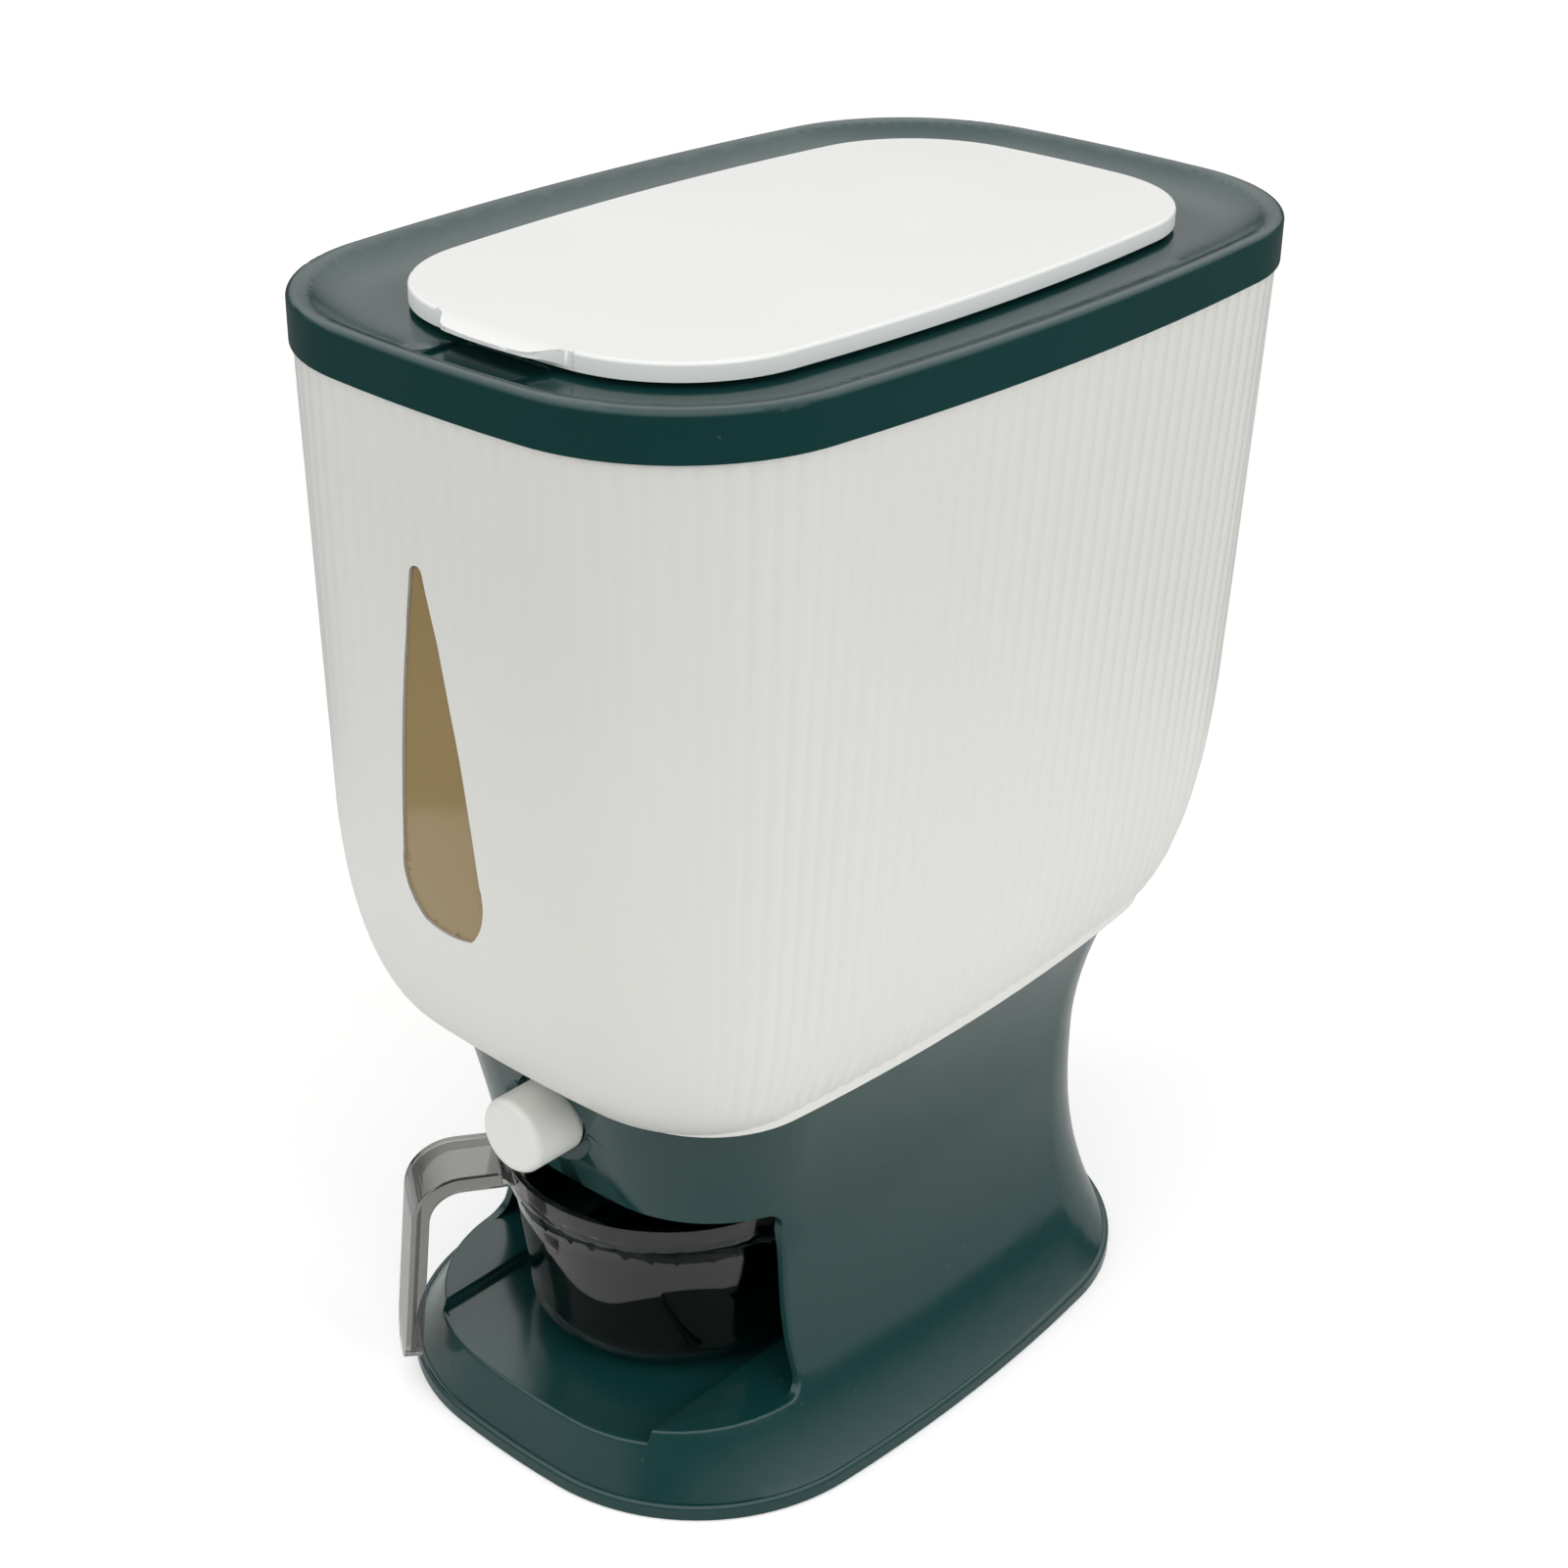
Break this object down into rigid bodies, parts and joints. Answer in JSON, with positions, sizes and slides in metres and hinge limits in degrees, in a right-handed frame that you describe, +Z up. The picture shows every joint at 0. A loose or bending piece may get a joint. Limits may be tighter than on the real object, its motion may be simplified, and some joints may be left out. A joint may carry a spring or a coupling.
{
  "type": "rice dispenser",
  "caption": "Countertop rice dispenser: a fluted tub with a hinged lid and sight window on a flared stand, where a push button opens a gate over a pull-out measuring cup.",
  "frame": {"origin": "centre of the outer box on the surface that the dispenser stands on", "axes": "+Z up, -Y to the front with the button and the cup, +X to the right seen from the front"},
  "size_m": [0.2226, 0.344, 0.421],
  "materials": {
    "green_plastic": "glossy dark green",
    "white_plastic": "satin white",
    "inner_plastic": "matt light grey",
    "tinted_window": "clear with a tea tint",
    "smoky_plastic": "clear with a smoke tint",
    "silicone": "matt",
    "rubber": "matt",
    "steel": "plain"
  },
  "bodies": {
    "stand": {"base_stand": "green_plastic", "hopper_tub": "white_plastic", "funnel_floor": "inner_plastic", "sight_window": "tinted_window", "top_cover": "green_plastic", "lid_hinge_pin": "steel", "return_spring": "steel", "valve_body": "inner_plastic", "valve_cover": "inner_plastic", "throat_seal": "silicone", "valve_screws": "steel", "tub_screws": "steel", "foot_pad_front_left": "rubber", "foot_pad_front_right": "rubber", "foot_pad_back_left": "rubber", "foot_pad_back_right": "rubber"},
    "lid": {"lid": "white_plastic", "lid_seal": "silicone"},
    "button": {"push_button": "white_plastic", "gate_slide": "inner_plastic"},
    "cup": {"measuring_cup": "smoky_plastic"}
  },
  "joints": [
    {"name": "lid_hinge", "type": "hinge", "parent": "stand", "child": "lid", "pos_m": [0, 0.1375, 0.4158], "axis": [-1, 0, 0], "range_deg": [0, 100]},
    {"name": "button_press", "type": "slide", "parent": "stand", "child": "button", "axis": [0, 1, 0], "range_m": [0, 0.014], "stiffness_N_per_m": 300, "springref_m": -0.004, "deforming": ["return_spring"]},
    {"name": "cup_slide", "type": "slide", "parent": "stand", "child": "cup", "axis": [0, -1, 0], "range_m": [0, 0.15]}
  ]
}
